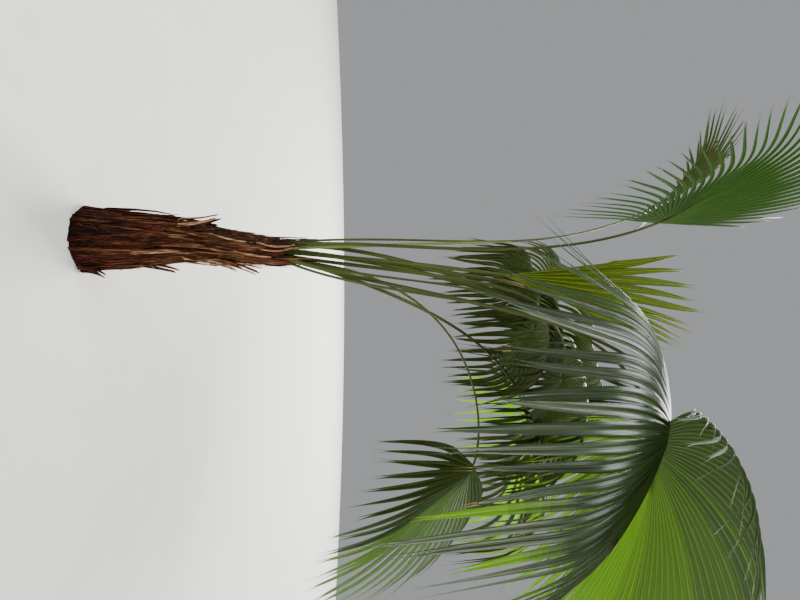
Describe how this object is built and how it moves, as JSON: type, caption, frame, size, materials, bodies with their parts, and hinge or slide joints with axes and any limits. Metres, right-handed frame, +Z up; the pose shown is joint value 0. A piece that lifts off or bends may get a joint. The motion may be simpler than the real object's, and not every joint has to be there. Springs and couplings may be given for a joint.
{
  "type": "fan palm tree",
  "caption": "Whole young fan palm with a short fibrous trunk, tall bare leaf stalks and wide fan leaves split into long drooping tips.",
  "frame": {"origin": "centre of the flat cut under the trunk, at ground level (mount ground)", "axes": "+Z up along the foot of the trunk; the crown leans towards +X, which is the right side of the upright picture; the picture looks along +Y"},
  "size_m": [2.9498, 3.3401, 3.384],
  "materials": {
    "bark": "rough red-brown fibre with split old leaf bases",
    "stalk": "smooth green stalk, streaked light and dark along its length",
    "blade": "leathery pleated leaf with a satin sheen, lighter ribs and dry brown tips",
    "spear": "pale green folded new leaf, satin"
  },
  "bodies": {
    "root": {"trunk": "bark", "spear": "spear", "stalk_front": "stalk", "stalk_right_high": "stalk", "stalk_left_front": "stalk", "stalk_young": "stalk", "stalk_right_low": "stalk", "stalk_middle": "stalk", "stalk_back_right": "stalk", "stalk_back": "stalk", "stalk_right_back": "stalk", "stalk_back_high": "stalk", "stalk_left_back": "stalk", "stalk_left_high": "stalk", "blade_front": "blade", "blade_right_high": "blade", "blade_left_front": "blade", "blade_young": "blade", "blade_right_low": "blade", "blade_middle": "blade", "blade_back_right": "blade", "blade_back": "blade", "blade_right_back": "blade", "blade_back_high": "blade", "blade_left_back": "blade", "blade_left_high": "blade"}
  },
  "joints": []
}
